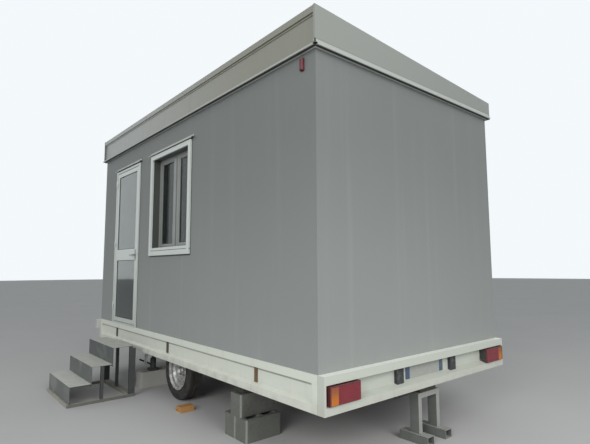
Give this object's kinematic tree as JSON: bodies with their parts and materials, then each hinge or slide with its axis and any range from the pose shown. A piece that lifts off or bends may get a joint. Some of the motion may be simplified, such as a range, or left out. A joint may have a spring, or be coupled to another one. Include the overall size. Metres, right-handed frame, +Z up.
{
  "type": "portable site cabin",
  "caption": "Towable grey site cabin on a pale steel chassis with one axle, glazed door, window, steps, rear lamps and parking blocks",
  "frame": {"origin": "On the ground plane, under the middle of the whole outline, drawbar and steps included", "axes": "+Z up; +X towards the rear end with the lamps and number plate, along the cabin; -Y towards the side with the door, window and steps"},
  "size_m": [5.878, 3.249, 3.2302],
  "materials": {
    "wall_panel": "smooth grey coated steel skin, slightly textured",
    "trim_white": "off-white coated sheet, satin",
    "chassis_paint": "off-white paint over folded steel, satin, dusty low down",
    "under_paint": "grey paint, dull",
    "roof_steel": "off-white ribbed sheet",
    "floor_board": "sealed board, dull",
    "frame_white": "white profile, smooth",
    "sash_grey": "pale grey profile, satin",
    "pane_glass": "clear, slightly green",
    "handle_metal": "satin",
    "hinge_white": "white paint",
    "lamp_black": "moulded, dull",
    "lens_red": "moulded ribbed lens",
    "lens_amber": "reflex lens",
    "lens_clear": "pale lens",
    "plate_white": "white film, blue ends, no text",
    "buffer_rubber": "moulded, dull",
    "rim_silver": "silver paint",
    "tyre_rubber": "road worn, dusty",
    "axle_steel": "dark paint, dull",
    "coupling_steel": "dull grey casting",
    "concrete": "rough cast concrete",
    "timber": "weathered rough sawn",
    "chock_timber": "orange-brown rough timber",
    "jack_paint": "dark paint, worn",
    "trestle_grey": "pale grey paint over steel tube",
    "step_grey": "grey paint, worn on the treads",
    "step_frame_grey": "dark grey paint"
  },
  "bodies": {
    "cabin": {"side_beams": "chassis_paint", "rear_beam": "chassis_paint", "front_beam": "chassis_paint", "chassis_rails": "under_paint", "cross_members": "under_paint", "drawbar_arms": "chassis_paint", "coupling_head": "coupling_steel", "axle": "axle_steel", "floor_panel": "floor_board", "rear_wall": "wall_panel", "front_wall": "wall_panel", "far_wall": "wall_panel", "door_wall_front_bay": "wall_panel", "door_wall_middle_bay": "wall_panel", "door_wall_rear_bay": "wall_panel", "door_wall_infills": "wall_panel", "roof_panel": "roof_steel", "door_side_fascia": "trim_white", "far_side_fascia": "trim_white", "end_fascias": "trim_white", "door_frame": "frame_white", "hinge_frame_halves": "hinge_white", "drip_caps": "trim_white", "window_frame": "frame_white", "window_sashes": "sash_grey", "window_glass": "pane_glass", "rear_lamp_bodies": "lamp_black", "rear_lamp_lenses": "lens_red", "side_reflectors": "lens_amber", "top_marker_lamps": "lens_red", "front_marker_lamps": "lens_clear", "number_plate": "plate_white", "rubber_buffers": "buffer_rubber", "rear_trestle": "trestle_grey", "ground_blocks": "concrete", "upper_blocks": "concrete", "timber_shims": "timber", "front_jacks": "jack_paint", "wheel_chock": "chock_timber", "step_treads": "step_grey", "step_side_frames": "step_frame_grey"},
    "door": {"door_leaf": "frame_white", "door_glass": "pane_glass", "door_handle": "handle_metal", "hinge_leaf_halves": "hinge_white"},
    "near_wheel": {"near_wheel_rim": "rim_silver", "near_tyre": "tyre_rubber"},
    "far_wheel": {"far_wheel_rim": "rim_silver", "far_tyre": "tyre_rubber"}
  },
  "joints": [
    {"name": "door_swing", "type": "hinge", "parent": "cabin", "child": "door", "pos_m": [-1.0755, -0.8475, 0.7], "axis": [0, 0, -1], "range_deg": [0, 110]},
    {"name": "near_wheel_spin", "type": "hinge", "parent": "cabin", "child": "near_wheel", "pos_m": [0.441, -0.6465, 0.298], "axis": [0, 1, 0], "continuous": true},
    {"name": "far_wheel_spin", "type": "hinge", "parent": "cabin", "child": "far_wheel", "pos_m": [0.441, 1.3935, 0.298], "axis": [0, 1, 0], "continuous": true}
  ]
}
